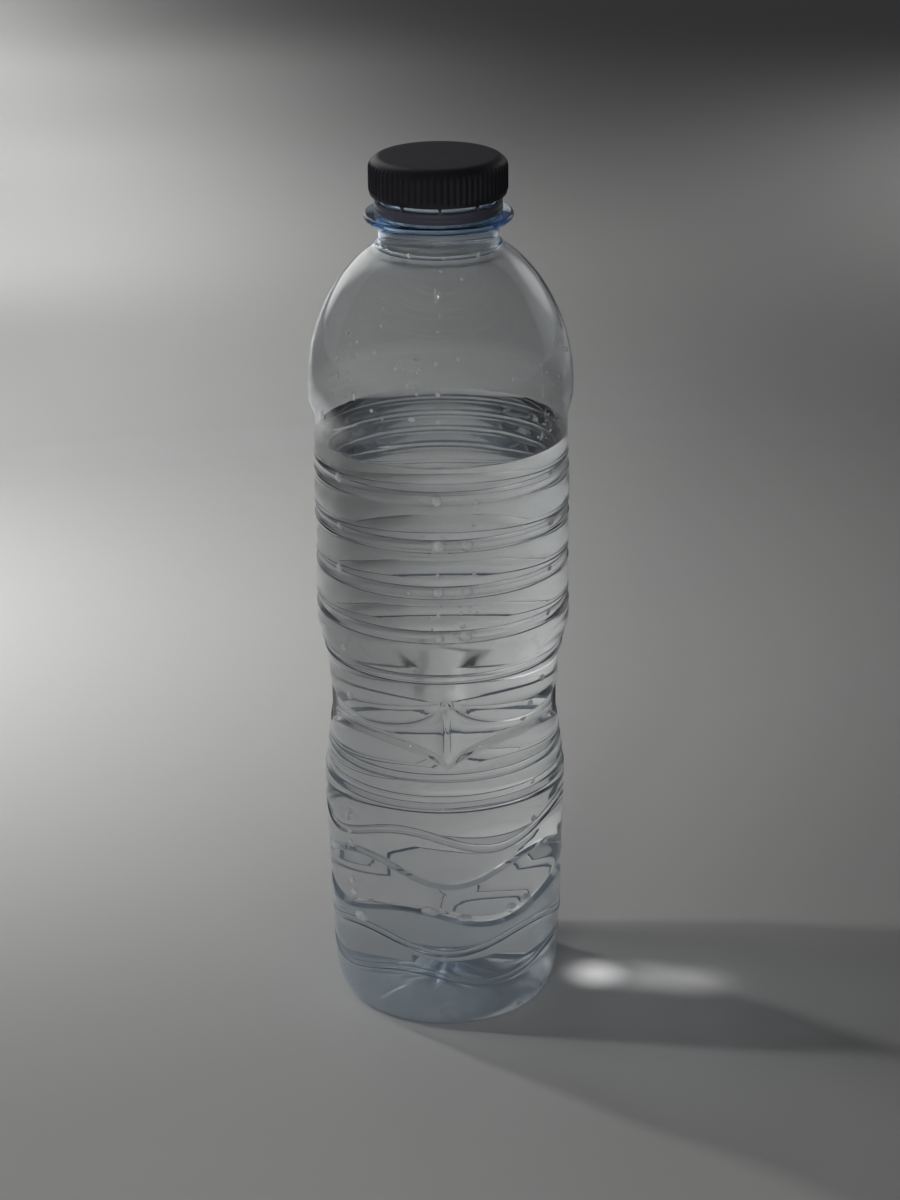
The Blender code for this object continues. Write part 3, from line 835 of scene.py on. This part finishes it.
def makeDrops(material):
    shape = bmesh.new()
    chance = random.Random(drops["seed"])
    for angle, level, width, height in drops["beads"]:
        addDrop(shape, angle, level, width, height)
    tall, thick = drops["hangingForm"]
    for angle, level, width in drops["hanging"]:
        addDrop(shape, angle, level, width, width * tall, flat=thick)
    for angle, levels, width in drops["columns"]:
        for level in levels:
            side = angle + chance.uniform(-1.5, 1.5)
            addDrop(shape, side, level, width * chance.uniform(0.7, 1.1), width * chance.uniform(0.9, 1.4))
    for angle, level, width, length, lean in drops["runs"]:
        addDrop(shape, angle, level, width, length, lean)
    for angle, level, spread, height, count in drops["patches"]:
        for _ in range(count):
            width = chance.uniform(*drops["mistWidth"])
            side = angle + chance.uniform(-spread, spread)
            place = level + chance.uniform(-height, height)
            addDrop(shape, side, place, width, width * chance.uniform(0.8, 1.5))
    for point in shape.verts:
        across = point.co.xy.length
        if across > drops["reach"] * mm:
            point.co.xy *= drops["reach"] * mm / across
    finish("water_drops", shape, material, "bottle", (), 70.0)


studio = {
    "floor": (0.62, 0.62, 0.61),
    "floorRoughness": 0.45,
    "floorHalf": 4.0,  # half a side, in metres
    "horizon": (0.140, 0.140, 0.147),
    "zenith": (0.045, 0.045, 0.050),
    "zenithHeight": 0.9,
    # direction, brightness, and how wide its bright middle and its soft edge are, in degrees
    "windows": (
        ((-0.40, 0.90, 0.10), (1.2, 1.2, 1.18), 6.0, 20.0),
        ((-0.42, 0.80, 0.42), (1.2, 1.2, 1.18), 6.0, 20.0),
        ((-0.40, 0.62, 0.68), (0.9, 0.9, 0.89), 6.0, 20.0),
        ((0.60, 0.76, 0.22), (0.8, 0.8, 0.8), 3.0, 16.0),
    ),
    # place, aim, size, power in watts and spread in degrees of each lamp
    "lamps": {
        "upper_key": ((-0.76, 0.07, 0.62), (0.0, 0.0, 0.05), (0.05, 0.05), 0.150, 60.0),
        "lower_key": ((-0.62, 0.44, 0.62), (0.0, 0.0, 0.05), (0.05, 0.05), 0.130, 60.0),
        "table_key": ((-0.75, 0.15, 0.62), (-0.25, 0.25, 0.0), (0.09, 0.09), 0.38, 40.0),
        "side_key": ((-0.60, 0.15, 0.55), (-0.25, 0.25, 0.0), (0.09, 0.09), 0.20, 60.0),
        "low_softbox": ((-0.42, 0.55, 0.12), (-0.10, 0.58, 0.0), (0.3, 0.2), 0.20, 50.0),
        "left_softbox": ((-0.42, 0.80, 0.30), (-0.20, 0.75, 0.0), (0.3, 0.2), 0.20, 50.0),
        "left_far_softbox": ((-0.60, 1.05, 0.30), (-0.38, 1.00, 0.0), (0.3, 0.2), 0.19, 50.0),
        "middle_far_softbox": ((-0.42, 1.05, 0.30), (-0.20, 1.00, 0.0), (0.3, 0.2), 0.11, 50.0),
        "back_softbox": ((-0.60, 1.30, 0.30), (-0.38, 1.25, 0.0), (0.3, 0.2), 0.25, 50.0),
        "right_far_softbox": ((0.70, 0.80, 0.50), (0.42, 0.80, 0.0), (0.3, 0.3), 0.22, 50.0),
        "front_lamp": ((-0.03, -0.55, 1.25), (0.0, 0.0, 0.15), (0.02, 0.06), 0.07, 180.0),
        "front_fill": ((-0.25, -1.0, 0.32), (0.0, 0.0, 0.12), (0.25, 0.25), 0.06, 22.0),
        "glint_lamp": ((0.24, -0.045, 0.9), (0.038, -0.001, 0.0), (0.002, 0.004), 0.00024, 1.1),
        "glint_tail": ((0.26, -0.045, 0.9), (0.056, -0.004, 0.0), (0.002, 0.024), 0.00025, 1.2),
        "room_front": ((0.3, -0.9, 1.0), (0.0, -0.75, 0.0), (0.4, 0.4), 2.2, 60.0),
    },
}


def areaLight(name, place, aim, size, power, spread):
    data = bpy.data.lights.new(name, "AREA")
    data.shape = "RECTANGLE"
    data.size, data.size_y = size
    data.energy = power
    data.spread = math.radians(spread)
    light = bpy.data.objects.new(name, data)
    bpy.context.scene.collection.objects.link(light)
    light.location = place
    light.rotation_euler = (Vector(aim) - Vector(place)).to_track_quat("-Z", "Y").to_euler()
    return light


def makeStage():
    paint = Paint(bpy.data.materials.new("stage_floor"))
    sockets = {"Base Color": studio["floor"], "Roughness": studio["floorRoughness"]}
    material = paint.surface(paint.add("ShaderNodeBsdfPrincipled", {}, sockets))
    shape = bmesh.new()
    bmesh.ops.create_grid(shape, x_segments=1, y_segments=1, size=studio["floorHalf"])
    mesh = bpy.data.meshes.new("stage_floor")
    shape.to_mesh(mesh)
    shape.free()
    floor = bpy.data.objects.new("stage_floor", mesh)
    bpy.context.scene.collection.objects.link(floor)
    mesh.materials.append(material)


def makeLights():
    world = bpy.data.worlds.new("studio")
    bpy.context.scene.world = world
    paint = Paint(world, "ShaderNodeOutputWorld")
    direction = paint.add("ShaderNodeTexCoord", {}, {}, "Generated")
    height = paint.add("ShaderNodeSeparateXYZ", {}, {0: direction}, "Z")
    upwards = paint.between(height, 0.0, studio["zenithHeight"])
    colour = paint.mixColour(upwards, studio["horizon"], studio["zenith"])
    for aim, brightness, inner, outer in studio["windows"]:
        sockets = {0: direction, 1: tuple(Vector(aim).normalized())}
        towards = paint.add("ShaderNodeVectorMath", {"operation": "DOT_PRODUCT"}, sockets, "Value")
        lit = paint.between(towards, math.cos(math.radians(outer)), math.cos(math.radians(inner)))
        colour = paint.mixColour(lit, colour, brightness)
    paint.surface(paint.add("ShaderNodeBackground", {}, {"Color": colour}))
    world.cycles_visibility.diffuse = False
    for name, settings in studio["lamps"].items():
        light = areaLight(name, *settings)
        light.visible_glossy = name == "front_lamp"
        light.visible_transmission = name.endswith("softbox")
    bpy.context.scene.view_settings.view_transform = "Standard"
    # light passes many surfaces of clear plastic and water
    cycles = bpy.context.scene.cycles
    cycles.max_bounces = cycles.transmission_bounces = cycles.transparent_max_bounces = 20
    cycles.glossy_bounces = 10


# sensor and lens in millimetres, place in metres, angles in degrees
eye = {"sensor": 36.0, "lens": 85.5, "place": (0.0017, -0.6377, 0.3675), "down": 22.5, "roll": -0.61}


def makeCamera():
    data = bpy.data.cameras.new("camera")
    data.sensor_width = eye["sensor"]
    data.lens = eye["lens"]
    camera = bpy.data.objects.new("camera", data)
    bpy.context.scene.collection.objects.link(camera)
    tilt = Matrix.Rotation(math.radians(90.0 - eye["down"]), 4, "X")
    roll = Matrix.Rotation(math.radians(eye["roll"]), 4, "Z")
    camera.matrix_world = Matrix.Translation(eye["place"]) @ tilt @ roll
    bpy.context.scene.camera = camera


makeCamera()
makeStage()
makeLights()
print("stage, lights and camera are up")

makeBottle(clearPetPaint())
makeWater(waterPaint())
makeDrops(dropPaint())
print("bottle, water and drops are made")

makeCap(capPaint("cap"))
makeBand(capPaint("band"))
print("cap and tamper band are made")
